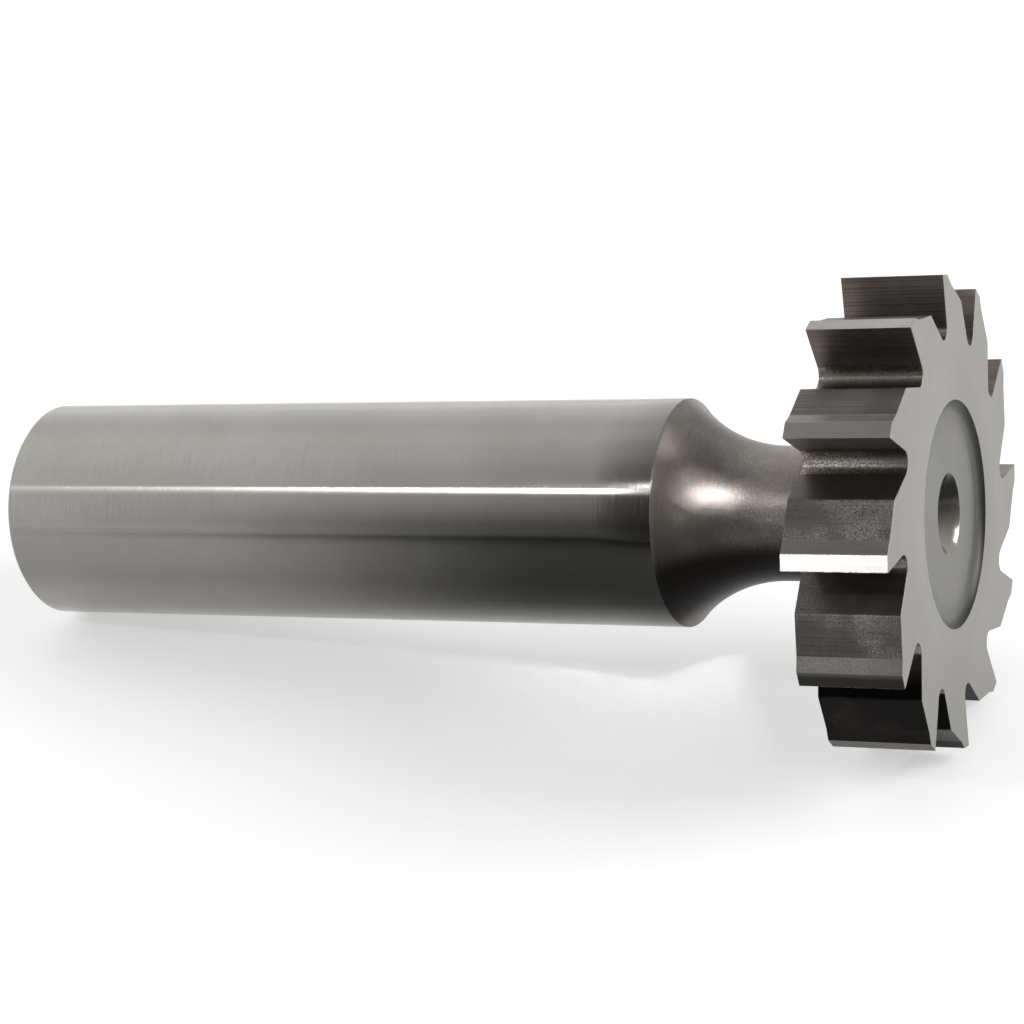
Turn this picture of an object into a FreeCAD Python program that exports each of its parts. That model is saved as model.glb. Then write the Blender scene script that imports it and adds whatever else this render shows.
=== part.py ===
import FreeCAD, Part
import math
import os

# Straight-tooth keyseat cutter in millimetres, made in one piece: a plain shank, a flare
# down to a neck, and a narrow toothed head. It is drawn along +X with the centre of the
# shank's end face at the origin, then laid down as it comes to rest on a flat surface.

# Shank
shank_d = 12.7
shank_chamfer = 0.3        # at 45 degrees round the end
overall_length = 56.36     # shank end to front face

# Concave flare and neck, along the axis
flare_length = 5.7         # plain shank to straight neck
neck_length = 3.75         # straight part, up to the back of the head
neck_d = 7.4
neck_fillet = 0.4          # where the neck meets the back of the head

# Head
head_d = 25.68             # over the cutting edges
face_width = 5.556
tooth_count = 12

# Outline of a tooth, angles in degrees
rake_angle = 5.0           # rake face against the radius through the cutting edge
land_width = 0.9           # ground land behind the cutting edge
land_relief = 8.0
heel_width = 0.75          # short steep facet behind the land
heel_relief = 45.0
back_relief = 33.7         # long facet that ends at the flank of the gullet
gullet_angle = 45.0        # between a rake face and the flank ahead of it
gullet_radius = 0.65
gullet_depth = 3.39        # cutting edge to gullet bottom

# Shallow recess in the front face
recess_d = 12.2
recess_depth = 0.39
recess_wall = 0.65         # width of the curved wall round the flat floor

# Centre holes in the recess and in the shank's end
centre_d = 4.4             # wide end of the cone
centre_angle = 60.0
pilot_d = 1.9
pilot_depth = 2.2          # straight bore past the cone
drill_point_angle = 118.0

shank_r = shank_d / 2
head_r = head_d / 2
neck_r = neck_d / 2
pitch = 360.0 / tooth_count
head_back = overall_length - face_width
neck_start = head_back - neck_length
shoulder = neck_start - flare_length


def point(x, r):
    return FreeCAD.Vector(x, 0, r)


def straight(*corners):
    return [Part.LineSegment(a, b).toShape() for a, b in zip(corners, corners[1:])]


def turned(edges):
    # Closed outline of edges in the XZ plane, turned once about the X axis
    face = Part.Face(Part.Wire(Part.__sortEdges__(edges)))
    return face.revolve(FreeCAD.Vector(0, 0, 0), FreeCAD.Vector(1, 0, 0), 360)


def runout_arc(x_wide, r_wide, x_narrow, r_narrow):
    # Concave arc between two corners, parallel to the axis at the narrow one
    run, rise = x_wide - x_narrow, r_wide - r_narrow
    radius = (run ** 2 + rise ** 2) / (2 * rise)
    half = math.atan2(rise, abs(run))
    x_mid = x_narrow + math.copysign(radius * math.sin(half), run)
    r_mid = r_narrow + radius * (1 - math.cos(half))
    return Part.Arc(point(x_wide, r_wide), point(x_mid, r_mid), point(x_narrow, r_narrow)).toShape()


def shank_and_neck():
    fillet_start = head_back - neck_fillet
    edges = straight(point(fillet_start, neck_r), point(neck_start, neck_r))
    edges.append(runout_arc(shoulder, shank_r, neck_start, neck_r))
    edges += straight(point(shoulder, shank_r), point(shank_chamfer, shank_r),
                      point(0, shank_r - shank_chamfer), point(0, 0),
                      point(head_back + neck_fillet, 0),
                      point(head_back + neck_fillet, neck_r + neck_fillet),
                      point(head_back, neck_r + neck_fillet))
    edges.append(runout_arc(head_back, neck_r + neck_fillet, fillet_start, neck_r))
    return turned(edges)


# Points on the tooth outline are (p, q): p along the radius through the tooth's cutting
# edge, q at right angles to it, positive on the rake side, the way the cutter turns.

def bearing(degrees):
    return math.cos(math.radians(degrees)), math.sin(math.radians(degrees))


def step(start, degrees, distance):
    c, s = bearing(degrees)
    return start[0] + distance * c, start[1] + distance * s


def spin(start, degrees):
    c, s = bearing(degrees)
    return start[0] * c - start[1] * s, start[0] * s + start[1] * c


def crossing(a, a_degrees, b, b_degrees):
    (ac, as_), (bc, bs) = bearing(a_degrees), bearing(b_degrees)
    t = ((b[0] - a[0]) * bs - (b[1] - a[1]) * bc) / (ac * bs - as_ * bc)
    return step(a, a_degrees, t)


def gullet():
    # The arc lies against the rake face and the flank, and touches the root circle
    tip = (head_r, 0.0)
    inward = rake_angle + 180
    offset = step(tip, rake_angle + 90, gullet_radius)
    along = head_r * math.cos(math.radians(rake_angle))
    centre_r = head_r - gullet_depth + gullet_radius
    depth = along - math.sqrt(along ** 2 - offset[0] ** 2 - offset[1] ** 2 + centre_r ** 2)
    centre = step(offset, inward, depth)
    to_axis = math.degrees(math.atan2(-centre[1], -centre[0]))
    on_rake = step(tip, inward, depth)
    bottom = step(centre, to_axis, gullet_radius)
    on_flank = step(centre, rake_angle + gullet_angle + 90, gullet_radius)
    return on_rake, bottom, on_flank


on_rake, gullet_bottom, on_flank = gullet()
flank_foot = spin(on_flank, -pitch)      # the same flank seen from the tooth that it belongs to
tip = (head_r, 0.0)
heel = step(tip, -90 - land_relief, land_width)
heel_end = step(heel, -90 - heel_relief, heel_width)
back_end = crossing(heel_end, -90 - back_relief, flank_foot, rake_angle + gullet_angle - pitch)


def tooth_edges(x, tip_angle):
    # Land, heel, back and flank of one tooth, then the gullet and the next rake face
    def at(pair, angle=tip_angle):
        y, z = spin(pair, angle)
        return FreeCAD.Vector(x, y, z)

    behind = tip_angle - pitch
    edges = straight(at(tip), at(heel), at(heel_end), at(back_end), at(flank_foot))
    edges.append(Part.Arc(at(flank_foot), at(gullet_bottom, behind), at(on_rake, behind)).toShape())
    return edges + straight(at(on_rake, behind), at(tip, behind))


def toothed_head(tip_angle):
    edges = []
    for tooth in range(tooth_count):
        edges += tooth_edges(head_back, tip_angle - tooth * pitch)
    face = Part.Face(Part.Wire(edges))
    return face.extrude(FreeCAD.Vector(face_width, 0, 0))


def centre_hole(mouth, way):
    # Cone, pilot bore and drill point, going in from x = mouth along +X or -X; way is 1 or -1
    cone_depth = (centre_d - pilot_d) / 2 / math.tan(math.radians(centre_angle / 2))
    bore_end = cone_depth + pilot_depth
    point_depth = pilot_d / 2 / math.tan(math.radians(drill_point_angle / 2))
    corners = [(0, 0), (0, centre_d / 2), (cone_depth, pilot_d / 2), (bore_end, pilot_d / 2),
               (bore_end + point_depth, 0), (0, 0)]
    return turned(straight(*[point(mouth + way * depth, r) for depth, r in corners]))


def recess():
    front, floor = overall_length, overall_length - recess_depth
    rim, floor_r = recess_d / 2, recess_d / 2 - recess_wall
    # The curved wall is tangent to the floor, so it is steepest at the rim
    radius = (recess_wall ** 2 + recess_depth ** 2) / (2 * recess_depth)
    half = math.atan2(recess_depth, recess_wall)
    wall = Part.Arc(point(floor, floor_r),
                    point(floor + radius * (1 - math.cos(half)), floor_r + radius * math.sin(half)),
                    point(front, rim)).toShape()
    over = front + recess_depth
    edges = straight(point(front, rim), point(over, rim), point(over, 0), point(floor, 0),
                     point(floor, floor_r))
    return turned(edges + [wall])


# At rest the cutter lies on the back corners of two teeth, on the cutting edge of one and
# the heel of the next, and on the end of its shank.
heel_r = math.hypot(*heel)
spread = math.radians(pitch) + math.atan2(heel[1], heel[0])
lean = math.atan2(head_r - heel_r * math.cos(spread), heel_r * math.sin(spread))
rest_r = head_r * math.cos(lean)
tilt = math.atan2(rest_r - shank_r, head_back - shank_chamfer)
lift = shank_r * math.cos(tilt) - shank_chamfer * math.sin(tilt)

cutter = shank_and_neck().fuse(toothed_head(270 - math.degrees(lean)))
cutter = cutter.cut(recess())
cutter = cutter.cut(centre_hole(overall_length - recess_depth, -1)).cut(centre_hole(0, 1))
cutter = cutter.removeSplitter()
cutter.rotate(FreeCAD.Vector(0, 0, 0), FreeCAD.Vector(0, 1, 0), -math.degrees(tilt))
cutter.translate(FreeCAD.Vector(0, 0, lift))
box = cutter.optimalBoundingBox(False, False)
middle = FreeCAD.Vector((box.XMin + box.XMax) / 2, (box.YMin + box.YMax) / 2, 0)
cutter.translate(-middle)

os.makedirs("parts", exist_ok=True)
if len(cutter.Solids) == 1:
    cutter = cutter.Solids[0]
cutter.exportStep("parts/cutter.step")

box = cutter.optimalBoundingBox(False, False)
print("cutter", cutter.ShapeType, "valid", cutter.isValid(), "volume mm3", round(cutter.Volume, 2))
print("box", [round(v, 4) for v in (box.XMin, box.YMin, box.ZMin, box.XMax, box.YMax, box.ZMax)])
print("tilt", round(math.degrees(tilt), 4), "lean", round(math.degrees(lean), 4), "lift", round(lift, 4))
print("shank end centre", [round(v, 4) for v in (-middle.x, -middle.y, lift)])
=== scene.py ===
import math
import bpy
import numpy as np
from mathutils import Matrix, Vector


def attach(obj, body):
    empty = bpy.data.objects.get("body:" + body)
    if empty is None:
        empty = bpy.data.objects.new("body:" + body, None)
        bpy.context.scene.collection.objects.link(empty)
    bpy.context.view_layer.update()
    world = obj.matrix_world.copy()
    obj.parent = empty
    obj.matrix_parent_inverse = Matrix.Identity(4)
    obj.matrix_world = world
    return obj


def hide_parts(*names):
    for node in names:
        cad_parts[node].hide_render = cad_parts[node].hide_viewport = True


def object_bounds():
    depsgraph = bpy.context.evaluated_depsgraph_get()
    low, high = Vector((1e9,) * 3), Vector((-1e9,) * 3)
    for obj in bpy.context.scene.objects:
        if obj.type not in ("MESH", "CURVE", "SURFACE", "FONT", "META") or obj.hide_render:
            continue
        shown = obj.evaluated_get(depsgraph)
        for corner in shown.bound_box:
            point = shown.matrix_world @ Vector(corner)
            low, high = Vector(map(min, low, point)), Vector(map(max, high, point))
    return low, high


# Keyseat cutter lying on two of its teeth and the end of its shank.
# The cutter's own axis runs along X from the centre of the shank's end face, in millimetres;
# layDown() turns that into the row's frame, in metres.

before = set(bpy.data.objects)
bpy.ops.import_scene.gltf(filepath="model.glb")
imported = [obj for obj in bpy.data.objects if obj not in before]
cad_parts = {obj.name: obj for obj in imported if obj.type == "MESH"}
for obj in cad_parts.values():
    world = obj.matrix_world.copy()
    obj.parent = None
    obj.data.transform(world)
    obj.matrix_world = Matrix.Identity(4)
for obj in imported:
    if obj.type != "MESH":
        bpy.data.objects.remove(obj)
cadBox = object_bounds()
print("frame loaded, CAD box", [list(corner) for corner in cadBox])

cutterSizes = {
    "overallLength": 56.36, "shankRadius": 6.35, "shankChamfer": 0.3,
    "flareLength": 5.7, "neckLength": 3.75, "neckRadius": 3.7, "neckFillet": 0.4,
    "headRadius": 12.84, "faceWidth": 5.556, "toothCount": 12,
    "rakeAngle": 5.0, "landWidth": 0.9, "landRelief": 8.0, "heelWidth": 0.75, "heelRelief": 45.0,
    "backRelief": 33.7, "gulletAngle": 45.0, "gulletRadius": 0.65, "gulletDepth": 3.39,
    "recessRadius": 6.1, "recessDepth": 0.39, "recessWall": 0.65,
    "centreRadius": 2.2, "centreAngle": 60.0, "pilotRadius": 0.95, "pilotDepth": 2.2,
    "drillAngle": 118.0,
    "drillDot": 0.01,          # radius of the last ring at a drill's point
    "hubRadius": 8.6,          # ring on the side faces where round rings meet the toothed ones
    "pastRake": 0.25,          # degrees that the hub ring's angles keep clear of a rake face's line
    "edgeBreak": 0.015,        # how far every sharp edge is rubbed back
    "softBreak": 0.06,         # the same at the blunt corners of a tooth's back
    "sideBreak": 0.012,        # the same where the teeth meet the side faces
    "chipDepth": 0.035,        # deepest nick in a cutting edge
    "chipPower": 12,           # how rare the deep nicks are
    "chipSeed": 12,
    "sharpAngle": 28.0,        # a fold sharper than this isn't shaded smooth
}
cutterSteps = {
    "corner": 4, "land": 4, "heel": 3, "back": 7, "flank": 6, "gullet": 11, "rake": 7,
    "shank": 12, "flare": 26, "neck": 5, "fillet": 7, "tooth": 60, "recessWall": 8, "cone": 6,
    "nearShare": 0.06,         # share of an arc's first step where a ring keeps the edge's shading apart
}


def bearing(degrees):
    return np.array([math.cos(math.radians(degrees)), math.sin(math.radians(degrees))])


def spin(points, degrees):
    # Points (p, q) turned about the axis: each keeps its radius and its angle grows
    c, s = bearing(degrees)
    p, q = points[..., 0], points[..., 1]
    return np.stack([p * c - q * s, p * s + q * c], -1)


def crossing(a, aDegrees, b, bDegrees):
    # The point that two lines share, each given by a point and the bearing that it runs along
    u, v = bearing(aDegrees), bearing(bDegrees)
    along = ((b[0] - a[0]) * v[1] - (b[1] - a[1]) * v[0]) / (u[0] * v[1] - u[1] * v[0])
    return a + along * u


def between(a, b, steps, guard=0.03):
    # Points spaced along the straight line from a to b, without its two ends. The first and the
    # last stand the guard distance from the ends, so that a corner's smooth shading stops there.
    t = np.linspace(0, 1, steps + 1)[1:-1, None]
    t[0], t[-1] = guard / np.linalg.norm(b - a), 1 - guard / np.linalg.norm(b - a)
    return a * (1 - t) + b * t


def rubbedCorner(before, corner, after, reach, count):
    # A parabola that leaves one side at reach before the corner and joins the other at reach past it
    start = corner + reach * (before - corner) / np.linalg.norm(before - corner)
    end = corner + reach * (after - corner) / np.linalg.norm(after - corner)
    t = np.linspace(0, 1, count)[:, None]
    return (1 - t) ** 2 * start + 2 * t * (1 - t) * corner + t ** 2 * end


def toothCorners(s):
    # Corners of one tooth as (p, q): p out along the radius through the cutting edge, q square
    # to it towards the rake side. The gullet's arc touches the rake face, the flank and the root circle.
    tip = np.array([s["headRadius"], 0.0])
    rake, gulletR = s["rakeAngle"], s["gulletRadius"]
    flankBearing = rake + s["gulletAngle"]
    offset = tip + gulletR * bearing(rake + 90)
    along = s["headRadius"] * math.cos(math.radians(rake))
    centreR = s["headRadius"] - s["gulletDepth"] + gulletR
    depth = along - math.sqrt(along ** 2 - offset @ offset + centreR ** 2)
    centre = offset + depth * bearing(rake + 180)
    pitch = 360 / s["toothCount"]
    heel = tip + s["landWidth"] * bearing(-90 - s["landRelief"])
    heelEnd = heel + s["heelWidth"] * bearing(-90 - s["heelRelief"])
    onFlank = centre + gulletR * bearing(flankBearing + 90)
    flankFoot = spin(onFlank, -pitch)
    backEnd = crossing(heelEnd, -90 - s["backRelief"], flankFoot, flankBearing - pitch)
    return {"tip": tip, "heel": heel, "heelEnd": heelEnd, "backEnd": backEnd, "flankFoot": flankFoot,
            "gulletCentre": centre, "onRake": tip + depth * bearing(rake + 180),
            "arcFrom": flankBearing + 90, "arcTo": rake + 270}


toothZones = ["land", "heel", "back", "flank", "gullet", "rake", "edge"]


def toothOutline(s, steps):
    # One pitch of the head's outline, running backwards from a cutting edge over land, heel, back
    # and flank into the gullet and up the next rake face, with the zone of each short side
    k = toothCorners(s)
    pitch = 360 / s["toothCount"]
    tight, soft, count = s["edgeBreak"], s["softBreak"], steps["corner"]
    tipCurve = rubbedCorner(k["onRake"], k["tip"], k["heel"], tight, count)
    heelCurve = rubbedCorner(k["tip"], k["heel"], k["heelEnd"], tight, count)
    heelEndCurve = rubbedCorner(k["heel"], k["heelEnd"], k["backEnd"], soft, count)
    backEndCurve = rubbedCorner(k["heelEnd"], k["backEnd"], k["flankFoot"], soft, count)
    turn = np.radians(np.linspace(k["arcFrom"], k["arcTo"], steps["gullet"]))
    arc = k["gulletCentre"] + s["gulletRadius"] * np.stack([np.cos(turn), np.sin(turn)], 1)
    rakeLine = between(k["onRake"], tipCurve[0], steps["rake"])
    parts = [(tipCurve, "edge", "land"),
             (between(tipCurve[-1], heelCurve[0], steps["land"]), "land", "land"),
             (heelCurve, "edge", "heel"),
             (between(heelCurve[-1], heelEndCurve[0], steps["heel"]), "heel", "heel"),
             (heelEndCurve, "heel", "back"),
             (between(heelEndCurve[-1], backEndCurve[0], steps["back"]), "back", "back"),
             (backEndCurve, "back", "flank"),
             (between(backEndCurve[-1], k["flankFoot"], steps["flank"]), "flank", "flank"),
             (spin(arc, -pitch), "gullet", "rake"),
             (spin(rakeLine, -pitch), "rake", "rake")]
    points = np.concatenate([p for p, _, _ in parts])
    zones = np.concatenate([[toothZones.index(first)] * (len(p) - 1) + [toothZones.index(last)]
                            for p, first, last in parts])
    return points, zones


def headOutline(s, steps, tipAngle):
    # The pitch repeated once for each tooth, turned one pitch further back each time
    points, zones = toothOutline(s, steps)
    pitch = 360 / s["toothCount"]
    turns = tipAngle - pitch * np.arange(s["toothCount"])
    outline = np.concatenate([spin(points, turn) for turn in turns])
    # A round ring's angles follow the outline's. From the gullet's bottom to the next back they are
    # spread evenly instead, past the line of the rake face, so that no side face folds over.
    own = np.degrees(np.arctan2(points[:, 1], points[:, 0]))
    low = np.argmin(np.linalg.norm(points, axis=1))
    rakeStart = len(points) - steps["rake"]
    backStart = list(zones).index(toothZones.index("back"))
    undercutSine = s["headRadius"] * math.sin(math.radians(s["rakeAngle"])) / s["hubRadius"]
    rakeAt = s["rakeAngle"] - math.degrees(math.asin(undercutSine)) - pitch - s["pastRake"]
    own[low:rakeStart + 1] = np.linspace(own[low], rakeAt, rakeStart + 1 - low)
    spreadCount = len(points) - rakeStart + backStart + 1
    run = np.linspace(rakeAt, own[backStart] - pitch, spreadCount)
    own[rakeStart:] = run[:len(points) - rakeStart]
    own[:backStart + 1] = run[len(points) - rakeStart:] + pitch
    angles = np.radians(np.concatenate([own + turn for turn in turns]))
    return outline, np.tile(zones, s["toothCount"]), angles


def insetOutline(outline, distance):
    # Every point moved into the metal along the mean normal of its two short sides
    ahead, behind = np.roll(outline, -1, 0) - outline, outline - np.roll(outline, 1, 0)
    way = (ahead / np.linalg.norm(ahead, axis=1, keepdims=True)
           + behind / np.linalg.norm(behind, axis=1, keepdims=True))
    way /= np.linalg.norm(way, axis=1, keepdims=True)
    return outline + distance * np.stack([way[:, 1], -way[:, 0]], 1)


def runoutArc(xWide, rWide, xNarrow, rNarrow, steps):
    # Concave arc, parallel to the axis at its narrow end: from there x moves by R sin(t) and r by
    # R (1 - cos(t))
    run, rise = xWide - xNarrow, rWide - rNarrow
    radius = (run ** 2 + rise ** 2) / (2 * rise)
    t = np.linspace(1, 0, steps + 1) * 2 * math.atan2(rise, abs(run))
    return np.stack([xNarrow + np.sign(run) * radius * np.sin(t), rNarrow + radius * (1 - np.cos(t))], 1)


def restPose(s):
    # The cutter lies on the cutting edge of one tooth, the heel of the next and the shank's end
    heel = toothCorners(s)["heel"]
    heelR = np.linalg.norm(heel)
    spread = 2 * math.pi / s["toothCount"] + math.atan2(heel[1], heel[0])
    lean = math.atan2(s["headRadius"] - heelR * math.cos(spread), heelR * math.sin(spread))
    restR = s["headRadius"] * math.cos(lean)
    headBack = s["overallLength"] - s["faceWidth"]
    tilt = math.atan2(restR - s["shankRadius"], headBack - s["shankChamfer"])
    lift = s["shankRadius"] * math.cos(tilt) - s["shankChamfer"] * math.sin(tilt)
    return tilt, 270 - math.degrees(lean), lift


axisTilt, firstTip, axisLift = restPose(cutterSizes)
print("axis rises by", round(math.degrees(axisTilt), 3), "degrees")


def cutterRings(s, steps):
    # The whole skin as one stack of rings from the drill point in the shank's end to the one in
    # the face: each row of the grid is a ring of (y, z) at one x, each column one line along it
    outline, zones, angles = headOutline(s, steps, firstTip)
    circle = np.stack([np.cos(angles), np.sin(angles)], 1)
    length, headBack = s["overallLength"], s["overallLength"] - s["faceWidth"]
    neckStart = headBack - s["neckLength"]
    shoulder = neckStart - s["flareLength"]
    coneDepth = (s["centreRadius"] - s["pilotRadius"]) / math.tan(math.radians(s["centreAngle"] / 2))
    boreEnd = coneDepth + s["pilotDepth"]
    drillEnd = boreEnd + s["pilotRadius"] / math.tan(math.radians(s["drillAngle"] / 2))
    e, side, near = s["edgeBreak"], s["sideBreak"], steps["nearShare"]
    rows, strips = [], []

    def turned(profile, zone):
        for x, r in profile:
            rows.append((x, circle * r))
            strips.append(zone)

    def toothed(x, ring, zone):
        rows.append((x, ring))
        strips.append(zone)

    centreR, pilotR, dot = s["centreRadius"], s["pilotRadius"], s["drillDot"]
    cone = np.linspace(0, 1, steps["cone"] + 1)
    turned([(drillEnd - dot, dot), (boreEnd, pilotR)], "bore")
    turned([(coneDepth * (1 - t), pilotR + (centreR - pilotR) * t) for t in cone[:-1]], "bore")
    turned([(e, centreR - e / 2)], "edge")
    turned([(0, centreR + e), (0, (centreR + s["shankRadius"]) / 2)], "shankEnd")
    turned([(0, s["shankRadius"] - s["shankChamfer"])], "chamfer")
    shank = np.linspace(s["shankChamfer"], shoulder, steps["shank"] + 1)
    turned([(x, s["shankRadius"]) for x in shank[:-1]], "shank")
    turned([(shoulder - e, s["shankRadius"])], "neck")
    flare = runoutArc(shoulder, s["shankRadius"], neckStart, s["neckRadius"], steps["flare"])
    turned([flare[0] * (1 - near) + flare[1] * near], "neck")
    turned(flare[1:], "neck")
    straight = np.linspace(neckStart, headBack - s["neckFillet"], steps["neck"] + 1)[1:-1]
    turned([(x, s["neckRadius"]) for x in straight], "neck")
    fillet = runoutArc(headBack, s["neckRadius"] + s["neckFillet"],
                       headBack - s["neckFillet"], s["neckRadius"], steps["fillet"])[::-1]
    turned(fillet[:-1], "neck")
    turned([fillet[-1], (headBack, s["hubRadius"])], "side")
    inner = insetOutline(outline, side)
    toothed(headBack, inner, "edge")
    for x in np.linspace(headBack + side, length - side, steps["tooth"] + 1)[:-1]:
        toothed(x, outline, "tooth")
    toothed(length - side, outline, "edge")
    toothed(length, inner, "side")
    turned([(length, s["hubRadius"])], "side")
    rim, floor = s["recessRadius"], length - s["recessDepth"]
    turned([(length, rim + e)], "edge")
    wall = runoutArc(rim, length, rim - s["recessWall"], floor, steps["recessWall"])[:, ::-1]
    turned([wall[0] * (1 - near) + wall[1] * near], "recessWall")
    turned(wall[1:-1], "recessWall")
    turned([wall[-1]], "recessFloor")
    turned([(floor, centreR + e)], "edge")
    turned([(floor - e, centreR - e / 2)], "hole")
    turned([(floor - coneDepth * t, centreR - (centreR - pilotR) * t) for t in cone[1:]], "hole")
    turned([(floor - boreEnd, pilotR), (floor - drillEnd + dot, dot)], "hole")
    return rows, strips, zones


def layDown(points):
    # Own millimetres to the row's metres: the axis is tipped up at the head, lifted on to the
    # surface, and centred by the CAD box
    c, s = math.cos(axisTilt), math.sin(axisTilt)
    x, y, z = points[:, 0], points[:, 1], points[:, 2]
    laid = np.stack([x * c - z * s, y, x * s + z * c + axisLift], 1)
    laid[:, 0] -= cutterStart
    return laid / 1000


# The tilted shank end's top corner is the lowest x of the box and reaches the CAD box's own low side
backCorner = -(cutterSizes["shankRadius"] - cutterSizes["shankChamfer"]) * math.sin(axisTilt)
cutterStart = backCorner - 1000 * cadBox[0][0]


def skinMesh(name, s, steps, zoneNames):
    rows, strips, columnZones = cutterRings(s, steps)
    rings = np.stack([np.column_stack([np.full(len(ring), x), ring]) for x, ring in rows])
    rowCount, columns = rings.shape[:2]
    # Nicks: each ring moves in at the cutting edges by chipDepth times a high power of a seeded
    # random number, so that only a few are deep
    onTooth = np.array([z == "tooth" for z in strips])
    perTooth = columns // s["toothCount"]
    nick = np.zeros((rowCount, s["toothCount"], perTooth))
    random = np.random.default_rng(s["chipSeed"])
    chance = random.random((onTooth.sum(), s["toothCount"], 1)) ** s["chipPower"]
    nick[onTooth, :, 1:steps["corner"] - 1] = s["chipDepth"] * chance
    rings[..., 1:] *= (1 - nick.reshape(rowCount, columns, 1) / s["headRadius"])
    poles = np.array([rings[0].mean(0), rings[-1].mean(0)])
    points = layDown(np.concatenate([rings.reshape(-1, 3), poles]))
    grid = np.arange(rowCount * columns).reshape(rowCount, columns)
    nextColumn = np.roll(grid, -1, 1)
    quads = np.stack([grid[:-1], grid[1:], nextColumn[1:], nextColumn[:-1]], -1).reshape(-1, 4)
    caps = [np.stack([np.full(columns, rowCount * columns), grid[0], nextColumn[0]], 1),
            np.stack([np.full(columns, rowCount * columns + 1), nextColumn[-1], grid[-1]], 1)]
    stripIds = np.array([zoneNames.index(z) if z != "tooth" else -1 for z in strips[:-1]])
    faceZones = np.repeat(stripIds[:, None], columns, 1)
    onTeeth = faceZones[:, 0] < 0
    toothIds = np.array([zoneNames.index(z) for z in toothZones])[columnZones]
    faceZones[onTeeth] = toothIds
    capZones = np.repeat([zoneNames.index("bore"), zoneNames.index("hole")], columns)
    faceZones = np.concatenate([faceZones.reshape(-1), capZones])
    mesh = bpy.data.meshes.new(name)
    mesh.from_pydata(points.tolist(), [], quads.tolist() + caps[0].tolist() + caps[1].tolist())
    mesh.polygons.foreach_set("material_index", faceZones.astype(np.int32))
    mesh.polygons.foreach_set("use_smooth", np.ones(len(mesh.polygons), dtype=bool))
    mesh.set_sharp_from_angle(angle=math.radians(s["sharpAngle"]))
    mesh.update()
    # Signed volume: a sum over corners of faces, positive when the faces point outwards
    a, b, c, d = (points[quads[:, i]] for i in range(4))
    volume = np.einsum("ij,ij->i", a, np.cross(b, c) + np.cross(c, d)).sum() / 6
    print(name, rowCount, "rings of", columns, "points, signed volume", round(volume * 1e9, 1), "mm3")
    return mesh


# Finishes. Lengths are in millimetres: grain is the spacing of the fine marks across and along
# them, speck the size of the pits and grains, cloud that of the slow stains. The last entry lists
# painted shade: each darkens the steel towards black by its share, the first number, times all its
# ramps, standing in for shade and dark reflections. A ramp is (direction, start, end, value at the
# start) and is 1 at its end.
def finishLook(**changes):
    look = {"tone": (0.55, 0.54, 0.52), "stain": (0.48, 0.47, 0.45), "speckTone": (0.3, 0.29, 0.27),
            "rough": 0.3, "roughSpread": 0.06, "scratchRough": 0.5, "scratchShare": 0.0,
            "stretch": 0.0, "marks": "round",
            "grain": 0.11, "grainLength": 9.0, "grainDepth": 0.0006, "grainTone": 0.1,
            "speck": 0.22, "speckShare": 0.0, "speckDepth": 0.0, "speckRamp": None,
            "cloud": 5.0, "films": ()}
    look.update(changes)
    return look


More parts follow.
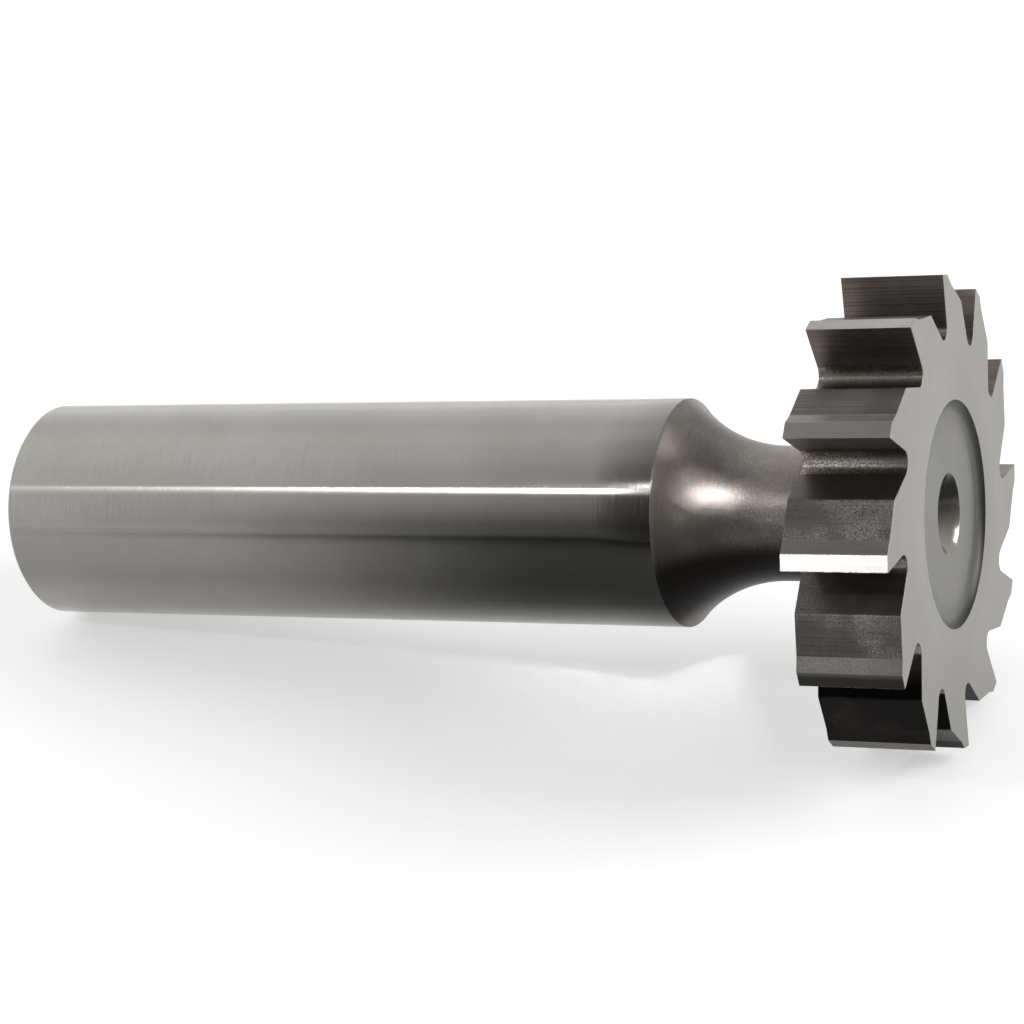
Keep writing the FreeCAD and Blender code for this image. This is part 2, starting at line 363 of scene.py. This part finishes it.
cutterFinishes = {
    "shank": finishLook(
        tone=(0.322, 0.314, 0.294), stain=(0.3, 0.291, 0.27), rough=0.15, roughSpread=0.02,
        scratchRough=0.26, scratchShare=0.06, stretch=1.0, grain=0.022, grainLength=1.5,
        grainDepth=0.00002, grainTone=0.02, cloud=6,
        # Painted shade and dark reflection: underside darker towards the head, a darker band below the
        # middle, a darker top edge
        films=((0.87, ("x", 8, 36, 0), ("z", 3.8, 1.2, 0), ("z", -4.8, -2.5, 0.5)),
               (0.24, ("z", 1.9, 0.7, 0), ("z", -2.9, -1.0, 0)),
               (0.18, ("z", 5.7, 6.35, 0)))),
    "shankEnd": finishLook(tone=(0.4, 0.39, 0.375), rough=0.36, marks="face"),
    "chamfer": finishLook(tone=(0.1, 0.108, 0.135), stain=(0.085, 0.092, 0.115), rough=0.3),
    "neck": finishLook(
        tone=(0.23, 0.21, 0.193), stain=(0.165, 0.147, 0.133), speckTone=(0.33, 0.3, 0.275),
        rough=0.36, roughSpread=0.08, stretch=0.3, grain=0.05, grainLength=1.2, grainDepth=0.0008,
        grainTone=0.2, speckShare=0.4, speckDepth=0.01, speck=0.11,
        # Painted shade and dark reflection: the lower half darker, and darker where the neck meets the
        # head
        films=((0.95, ("z", 2.6, -0.8, 0), ("z", -5.4, -3.6, 0.5)), (0.6, ("x", 48.2, 50.8, 0)))),
    "side": finishLook(
        tone=(0.3, 0.289, 0.266), stain=(0.285, 0.274, 0.252), rough=0.42, marks="face",
        grain=0.12, grainDepth=0.0002, cloud=7, grainTone=0.04),
    "edge": finishLook(tone=(0.24, 0.224, 0.2), stain=(0.2, 0.186, 0.165), rough=0.45),
    "land": finishLook(
        tone=(0.3, 0.287, 0.28), stain=(0.26, 0.247, 0.24), rough=0.24, marks="long",
        # Painted shade: lands of the lower teeth are darker
        grain=0.1, grainDepth=0.0003, films=((0.92, ("z", -1.8, -3.1, 0)),)),
    "heel": finishLook(
        tone=(0.18, 0.166, 0.154), stain=(0.15, 0.137, 0.127), speckTone=(0.28, 0.26, 0.236),
        rough=0.4, marks="long", grainTone=0.2, speckShare=0.35, speckDepth=0.0015, speck=0.09,
        # Painted shade: heels of the lower teeth are darker
        films=((0.92, ("z", -4.2, -5.5, 0)),)),
    "back": finishLook(
        tone=(0.112, 0.1, 0.091), stain=(0.082, 0.073, 0.067), speckTone=(0.26, 0.239, 0.218),
        rough=0.4, marks="long", grain=0.13, grainDepth=0.0015, grainTone=0.5, speckShare=0.5,
        speckDepth=0.004, speck=0.08, speckRamp=("z", 8.6, 6.4, 0.15), cloud=3.6,
        # Painted shade: backs of the lower teeth are darker
        films=((0.92, ("z", -1.8, -3.8, 0)),)),
    "flank": finishLook(
        tone=(0.1, 0.091, 0.084), stain=(0.07, 0.063, 0.058), speckTone=(0.16, 0.147, 0.136),
        rough=0.42, marks="long", grainDepth=0.0015, grainTone=0.3, speckShare=0.3,
        # Painted shade: flanks of the lower teeth are darker
        speckDepth=0.002, speck=0.1, films=((0.96, ("z", -3.0, -5.0, 0)),)),
    "gullet": finishLook(
        tone=(0.125, 0.11, 0.1), stain=(0.095, 0.083, 0.074), speckTone=(0.44, 0.405, 0.37),
        rough=0.38, marks="long", speckShare=0.5, speckDepth=0.006, speck=0.1, cloud=7),
    "rake": finishLook(
        tone=(0.26, 0.226, 0.204), stain=(0.156, 0.133, 0.12), speckTone=(0.29, 0.26, 0.236),
        rough=0.38, marks="long", grain=0.09, grainDepth=0.003, grainTone=0.55,
        # Painted shade: rake faces lower on the head are darker
        speckShare=0.15, speckDepth=0.001, speck=0.1, films=((0.3, ("z", 11.0, 6.5, 0)),)),
    "recessWall": finishLook(
        tone=(0.19, 0.186, 0.173), stain=(0.175, 0.17, 0.158), rough=0.45, marks="face",
        # Painted shade and dark reflection: the wall darker towards the rim
        films=((0.76, ("r", 5.3, 6.05, 0)),)),
    "recessFloor": finishLook(
        tone=(0.192, 0.187, 0.175), stain=(0.181, 0.176, 0.164), rough=0.42, marks="face",
        # Painted shade: the floor darker towards its corner with the wall
        grainDepth=0.0002, grainTone=0.04, films=((0.2, ("r", 4.4, 5.45, 0)),)),
    "hole": finishLook(
        tone=(0.38, 0.364, 0.325), stain=(0.29, 0.274, 0.242), rough=0.2, roughSpread=0.05,
        # Painted shade: the upper part of the hole is darker
        grain=0.06, grainDepth=0.0012, films=((0.94, ("z", -1.9, 0.2, 0)),)),
    # Painted shade: the bore darker deeper into the shank's end
    "bore": finishLook(tone=(0.42, 0.4, 0.375), rough=0.25, films=((0.85, ("x", 0.1, 1.3, 0)),)),
}
# How the three patterns turn into tone, as values of their noise from where a pattern starts to
# where it is full
patternLook = {
    "stain": (0.35, 0.65),                # in the cloud noise
    "mark": (0.42, 0.62), "markTone": 0.6,               # dark marks in the grain noise
    "speckAt": 0.62, "speckGain": 0.24, "speckSoft": (0.09, 0.13),
    "patch": (0.4, 0.56), "patchThin": 0.15,             # where the cloud thins the specks out
    "scratchAt": 0.62, "scratchGain": 0.3, "scratchSoft": 0.04,
}


def bareMaterial(name):
    # A material with an empty node tree
    material = bpy.data.materials.new(name)
    material.use_nodes = True
    material.node_tree.nodes.clear()
    return material, material.node_tree


def mathNode(tree, operation, *values):
    # One sum, where each value is a number or another node's output
    made = tree.nodes.new("ShaderNodeMath")
    made.operation = operation
    for socket, value in zip(made.inputs, values):
        if isinstance(value, (int, float)):
            socket.default_value = value
        else:
            tree.links.new(value, socket)
    return made.outputs[0]


def easedNode(tree, value, start, end, atStart, atEnd):
    # atStart where the value is at or before start, atEnd at or past end, and a smooth step between
    made = tree.nodes.new("ShaderNodeMapRange")
    made.interpolation_type = "SMOOTHSTEP"
    ends = ((start, atStart), (end, atEnd)) if start < end else ((end, atEnd), (start, atStart))
    for place, (at, out) in zip(("Min", "Max"), ends):
        made.inputs["From " + place].default_value = at
        made.inputs["To " + place].default_value = out
    tree.links.new(value, made.inputs["Value"])
    return made.outputs[0]


def steelFinish(name, look):
    # Metal whose tone, roughness and relief follow three patterns in the cutter's own coordinates:
    # grain is noise squeezed across the tool marks, specks are small cells, clouds are slow noise
    material, tree = bareMaterial(name)

    def node(kind, **settings):
        made = tree.nodes.new(kind)
        for key, value in settings.items():
            setattr(made, key, value)
        return made

    def link(source, socket):
        tree.links.new(source, socket)

    def maths(*terms):
        return mathNode(tree, *terms)

    def noise(vector, scale, detail, shiftBy, roughness=0.55):
        made = node("ShaderNodeTexNoise", noise_dimensions="3D")
        made.inputs["Scale"].default_value = scale
        made.inputs["Detail"].default_value = detail
        made.inputs["Roughness"].default_value = roughness
        shift = node("ShaderNodeVectorMath", operation="ADD")
        link(vector, shift.inputs[0])
        shift.inputs[1].default_value = (shiftBy, shiftBy * 0.7, -shiftBy)
        link(shift.outputs[0], made.inputs["Vector"])
        return made.outputs["Fac"]

    def mixColour(factor, a, b):
        made = node("ShaderNodeMix", data_type="RGBA", blend_type="MIX")
        link(factor, made.inputs[0])
        for i, value in ((6, a), (7, b)):
            if isinstance(value, tuple):
                made.inputs[i].default_value = (*value, 1)
            else:
                link(value, made.inputs[i])
        return made.outputs[2]

    place = node("ShaderNodeTexCoord").outputs["Object"]
    own = node("ShaderNodeMapping", vector_type="TEXTURE")
    own.inputs["Location"].default_value = (-cutterStart / 1000, 0, axisLift / 1000)
    own.inputs["Rotation"].default_value = (0, -axisTilt, 0)
    own.inputs["Scale"].default_value = (0.001, 0.001, 0.001)     # so that the patterns count in mm
    link(place, own.inputs["Vector"])
    ownXyz = node("ShaderNodeSeparateXYZ")
    link(own.outputs[0], ownXyz.inputs[0])
    x, y, z = ownXyz.outputs
    r = maths("SQRT", maths("ADD", maths("MULTIPLY", y, y), maths("MULTIPLY", z, z)))

    def ramped(ramp):
        way, start, end, least = ramp
        return easedNode(tree, {"x": x, "z": z, "r": r}[way], start, end, least, 1)

    across, along = 1 / look["grain"], 1 / look["grainLength"]
    if look["marks"] == "round":          # turned or ground about the axis
        parts = ((x, across), (y, along), (z, along))
    elif look["marks"] == "face":         # rings on a flat face
        parts = ((r, across), (y, along), (z, along))
    else:                                 # straight along the axis
        parts = ((x, along), (y, across), (z, across))
    squeezed = node("ShaderNodeCombineXYZ")
    for socket, (value, scale) in zip(squeezed.inputs, parts):
        link(maths("MULTIPLY", value, scale), socket)
    grain = noise(squeezed.outputs[0], 1.0, 3, 3.1)
    cloud = noise(own.outputs[0], 1 / look["cloud"], 3, 11.7)
    fine = noise(own.outputs[0], 1 / look["speck"], 4, 5.3, 0.75)

    p = patternLook
    colour = mixColour(easedNode(tree, cloud, *p["stain"], 0, 1), look["tone"], look["stain"])
    markTone = tuple(p["markTone"] * v for v in look["stain"])
    colour = mixColour(easedNode(tree, grain, *p["mark"], 0, look["grainTone"]), colour, markTone)
    if look["speckShare"] > 0:            # bright grains, thicker where the stain is thin
        middle = p["speckAt"] - p["speckGain"] * look["speckShare"]
        below, above = p["speckSoft"]
        grains = maths("MULTIPLY", easedNode(tree, fine, middle - below, middle + above, 0, 1),
                       easedNode(tree, cloud, *p["patch"], 1, p["patchThin"]))
        if look["speckRamp"]:
            grains = maths("MULTIPLY", ramped(look["speckRamp"]), grains)
        colour = mixColour(grains, colour, look["speckTone"])
    # Painted shade: the colour is darkened towards black where shade and dark reflections fall
    for share, *ramps in look["films"]:
        for ramp in ramps:
            share = maths("MULTIPLY", ramped(ramp), share)
        colour = mixColour(share, colour, (0.0, 0.0, 0.0))

    shader = node("ShaderNodeBsdfPrincipled")
    shader.inputs["Metallic"].default_value = 1.0
    link(colour, shader.inputs["Base Color"])
    spread = look["roughSpread"]
    roughness = maths("ADD", maths("MULTIPLY_ADD", grain, spread, look["rough"] - spread),
                      maths("MULTIPLY", cloud, spread))
    if look["scratchShare"] > 0:          # some of the grain is open scratches, which scatter widely
        middle = p["scratchAt"] - p["scratchGain"] * look["scratchShare"]
        soft = p["scratchSoft"]
        scratch = easedNode(tree, grain, middle - soft, middle + soft, 0, 1)
        roughMix = node("ShaderNodeMix", data_type="FLOAT")
        link(scratch, roughMix.inputs[0])
        link(roughness, roughMix.inputs[2])
        roughMix.inputs[3].default_value = look["scratchRough"]
        roughness = roughMix.outputs[0]
    link(roughness, shader.inputs["Roughness"])
    if look["stretch"] > 0:
        shader.inputs["Anisotropic"].default_value = look["stretch"]
        axisWay = node("ShaderNodeCombineXYZ")
        axisWay.inputs[0].default_value = math.cos(axisTilt)
        axisWay.inputs[2].default_value = math.sin(axisTilt)
        link(axisWay.outputs[0], shader.inputs["Tangent"])
    relief = maths("MULTIPLY", grain, look["grainDepth"])
    if look["speckDepth"] > 0:
        relief = maths("ADD", relief, maths("MULTIPLY", fine, look["speckDepth"]))
    bump = node("ShaderNodeBump")
    bump.inputs["Strength"].default_value = 1.0
    bump.inputs["Distance"].default_value = 0.001                 # heights above are in mm
    link(relief, bump.inputs["Height"])
    link(bump.outputs[0], shader.inputs["Normal"])
    out = node("ShaderNodeOutputMaterial")
    link(shader.outputs[0], out.inputs["Surface"])
    return material


zoneNames = list(cutterFinishes)
cutterMesh = skinMesh("keyseatCutter", cutterSizes, cutterSteps, zoneNames)
for zone in zoneNames:
    cutterMesh.materials.append(steelFinish(zone + "Steel", cutterFinishes[zone]))
cutter = bpy.data.objects.new("keyseatCutter", cutterMesh)
bpy.context.scene.collection.objects.link(cutter)
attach(cutter, "root")
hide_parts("cutter")
print("cutter dressed in", len(zoneNames), "finishes")

# Floor: one pale sheet
floorLook = {"size": 6.0, "tone": (0.62, 0.62, 0.617), "glow": 0.47}


def floorMaterial(look):
    material, tree = bareMaterial("paleSheet")
    diffuse = tree.nodes.new("ShaderNodeBsdfDiffuse")
    diffuse.inputs["Color"].default_value = (*look["tone"], 1)
    # A little brightness of its own, for the eye and in the metal alike, lifts the sheet to white
    path = tree.nodes.new("ShaderNodeLightPath")
    seen = path.outputs["Is Camera Ray"]
    for other in ("Is Glossy Ray", "Is Transmission Ray"):
        seen = mathNode(tree, "MAXIMUM", seen, path.outputs[other])
    emission = tree.nodes.new("ShaderNodeEmission")
    tree.links.new(mathNode(tree, "MULTIPLY", seen, look["glow"]), emission.inputs["Strength"])
    both = tree.nodes.new("ShaderNodeAddShader")
    tree.links.new(diffuse.outputs[0], both.inputs[0])
    tree.links.new(emission.outputs[0], both.inputs[1])
    out = tree.nodes.new("ShaderNodeOutputMaterial")
    tree.links.new(both.outputs[0], out.inputs["Surface"])
    return material


half = floorLook["size"] / 2
floorMesh = bpy.data.meshes.new("floor")
floorCorners = [(-half, -half, 0), (half, -half, 0), (half, half, 0), (-half, half, 0)]
floorMesh.from_pydata(floorCorners, [], [(0, 1, 2, 3)])
floorMesh.materials.append(floorMaterial(floorLook))
floor = bpy.data.objects.new("floor", floorMesh)
bpy.context.scene.collection.objects.link(floor)
print("floor laid")

# Flag: a black cloth on the floor in front of the picture, which bright steel mirrors as its dark
# side. Lengths are in mm.
flagLook = {
    "front": -40.0, "depth": 700.0, "left": -500.0, "right": 500.0, "height": 0.3,
    "leftFrom": 10.0, "leftTo": -60.0, "lean": 0.5,      # where its left side thins out
    "softFront": 90.0, "darkest": 0.76, "cloth": 0.004,
    "rows": 60, "columns": 201, "crowding": 2.5,         # how much closer rows lie near the object
}


def flagMesh(look):
    # A flat grid, closer spaced towards the object. It is open where x + lean * (-y) goes left,
    # and along its front edge.
    y = look["front"] - look["depth"] * np.linspace(0, 1, look["rows"]) ** look["crowding"]
    x = np.linspace(look["left"], look["right"], look["columns"])
    xGrid, yGrid = np.meshgrid(x, y)
    reach = xGrid - look["lean"] * yGrid
    ease = np.clip((look["leftFrom"] - reach) / (look["leftFrom"] - look["leftTo"]), 0, 1)
    ease = ease * ease * (3 - 2 * ease)
    start = np.clip((look["front"] - yGrid) / look["softFront"], 0, 1)
    opened = (1 - look["darkest"] * (1 - ease) * start).reshape(-1).astype(np.float32)
    points = np.stack([xGrid, yGrid, np.full(xGrid.shape, look["height"])], -1).reshape(-1, 3)
    grid = np.arange(xGrid.size).reshape(xGrid.shape)
    quads = np.stack([grid[:-1, :-1], grid[1:, :-1], grid[1:, 1:], grid[:-1, 1:]], -1)
    mesh = bpy.data.meshes.new("blackFlag")
    mesh.from_pydata((points / 1000).tolist(), [], quads.reshape(-1, 4).tolist())
    mesh.attributes.new("opened", "FLOAT", "POINT").data.foreach_set("value", opened)
    return mesh


def clothMaterial(look):
    # Black cloth, mixed with clear by the mesh's own opened attribute
    material, tree = bareMaterial("flagCloth")
    opened = tree.nodes.new("ShaderNodeAttribute")
    opened.attribute_name = "opened"
    black = tree.nodes.new("ShaderNodeBsdfDiffuse")
    black.inputs["Color"].default_value = (look["cloth"],) * 3 + (1,)
    clear = tree.nodes.new("ShaderNodeBsdfTransparent")
    mixed = tree.nodes.new("ShaderNodeMixShader")
    tree.links.new(opened.outputs["Fac"], mixed.inputs[0])
    tree.links.new(black.outputs[0], mixed.inputs[1])
    tree.links.new(clear.outputs[0], mixed.inputs[2])
    out = tree.nodes.new("ShaderNodeOutputMaterial")
    tree.links.new(mixed.outputs[0], out.inputs["Surface"])
    return material


flag = bpy.data.objects.new("blackFlag", flagMesh(flagLook))
flag.data.materials.append(clothMaterial(flagLook))
flag.visible_camera = flag.visible_diffuse = flag.visible_shadow = False      # only the steel mirrors it
bpy.context.scene.collection.objects.link(flag)
print("flag laid")

# Lamps: place, aim and size in mm, glow the brightness of the lamp's face, spread in degrees
lampLooks = {
    "lineLamp": {"place": (-77.2, -135.2, 147.7), "aim": (-7.6, -4.9, 12.8), "size": (6, 6),
                 "glow": 390.0},
    "spotLamp": {"place": (66.4, -99.2, 145.9), "aim": (13.2, -4, 15), "size": (14, 14),
                 "glow": 290.0, "spread": 6.5},
    "rightSoftbox": {"place": (410, 128, 255), "aim": (0, 0, 5), "size": (260, 260), "glow": 8.0},
    "toothLamp": {"place": (2.3, -71.5, 31.6), "aim": (24.4, -12.3, 16.2), "size": (14, 7),
                  "glow": 8.0, "spread": 14},
}


def aimAt(obj, place, aim):
    # Lamps and cameras look along their own -Z, so +Z points from the aim to the place
    back = np.array(place) - np.array(aim)
    back = back / np.linalg.norm(back)
    side = np.cross((0, 0, 1), back)
    side /= np.linalg.norm(side)
    columns = np.column_stack([side, np.cross(back, side), back, np.array(place) / 1000])
    obj.matrix_world = Matrix(np.vstack([columns, (0, 0, 0, 1)]).tolist())


for lampName, look in lampLooks.items():
    lamp = bpy.data.lights.new(lampName, "AREA")
    lamp.shape = "RECTANGLE"
    lamp.size, lamp.size_y = look["size"][0] / 1000, look["size"][1] / 1000
    lamp.energy = math.pi * lamp.size * lamp.size_y * look["glow"]       # watts from face brightness
    if "spread" in look:                                                 # a snoot narrows the beam
        lamp.spread = math.radians(look["spread"])
        lamp.energy *= math.sin(lamp.spread / 2) ** 2
    lampObject = bpy.data.objects.new(lampName, lamp)
    lampObject.visible_camera = False
    bpy.context.scene.collection.objects.link(lampObject)
    aimAt(lampObject, look["place"], look["aim"])
print("lamps hung:", ", ".join(lampLooks))

# Surroundings: a tent, white behind and to the left, that gets dark overhead and in front. The way
# round the X axis is counted from the back (0) over the top to the front (1).
tentLook = {
    "white": 1.37,
    "openAt": (0.19, 0.33, 0.5, 0.64, 0.8, 0.93, 1.0),
    "open": (1.0, 0.75, 0.42, 0.22, 0.09, 0.1, 0.42),
    "left": (-0.42, -0.82), "right": (0.1, 0.9), "rightShare": 0.5,      # the open sides
    "dim": (-0.35, 0.05), "dimShare": 0.5,                               # less light from the right
}


def tentWorld(look):
    # Brightness = white * (1 - dimmed) * (1 - (1 - opening) * (1 - open sides)). The opening goes
    # by the angle, the sides and the dimming by x / distance from the X axis.
    world = bpy.data.worlds.new("paleTent")
    world.use_nodes = True
    tree = world.node_tree
    tree.nodes.clear()

    def maths(*terms):
        return mathNode(tree, *terms)

    way = tree.nodes.new("ShaderNodeTexCoord")
    xyz = tree.nodes.new("ShaderNodeSeparateXYZ")
    tree.links.new(way.outputs["Generated"], xyz.inputs[0])
    x, y, z = xyz.outputs
    angle = maths("DIVIDE", maths("ARCTAN2", z, y), math.pi)
    ramp = tree.nodes.new("ShaderNodeValToRGB")
    ramp.color_ramp.interpolation = "EASE"
    stops = ramp.color_ramp.elements
    while len(stops) < len(look["open"]):
        stops.new(0.5)
    for stop, at, value in zip(stops, look["openAt"], look["open"]):
        stop.position, stop.color = at, (value, value, value, 1)
    tree.links.new(angle, ramp.inputs[0])
    away = maths("SQRT", maths("ADD", maths("MULTIPLY", y, y), maths("MULTIPLY", z, z)))
    aside = maths("DIVIDE", x, away)
    openSides = maths("MAXIMUM", easedNode(tree, aside, *look["left"], 0, 1),
                      easedNode(tree, aside, *look["right"], 0, look["rightShare"]))
    closed = maths("MULTIPLY", maths("SUBTRACT", 1, ramp.outputs[0]), maths("SUBTRACT", 1, openSides))
    back = tree.nodes.new("ShaderNodeBackground")
    undimmed = maths("SUBTRACT", 1, easedNode(tree, aside, *look["dim"], 0, look["dimShare"]))
    level = maths("MULTIPLY", maths("SUBTRACT", 1, closed), maths("MULTIPLY", undimmed, look["white"]))
    tree.links.new(level, back.inputs["Strength"])
    back.inputs["Color"].default_value = (1, 1, 1, 1)
    out = tree.nodes.new("ShaderNodeOutputWorld")
    tree.links.new(back.outputs[0], out.inputs["Surface"])
    return world


bpy.context.scene.world = tentWorld(tentLook)
print("tent lit")

# Camera at the photograph's angle
cameraLook = {"place": (57.664, -124.395, 80.604), "turn": (62.51, 4.173, 22.014),
              "lens": 94.433, "sensor": 36, "nearest": 5}
cameraData = bpy.data.cameras.new("photoCamera")
cameraData.lens = cameraLook["lens"]
cameraData.sensor_width = cameraLook["sensor"]
cameraData.clip_start = cameraLook["nearest"] / 1000
camera = bpy.data.objects.new("photoCamera", cameraData)
camera.location = [v / 1000 for v in cameraLook["place"]]
camera.rotation_euler = [math.radians(v) for v in cameraLook["turn"]]
bpy.context.scene.collection.objects.link(camera)
bpy.context.scene.camera = camera
bpy.context.scene.view_settings.view_transform = "Standard"
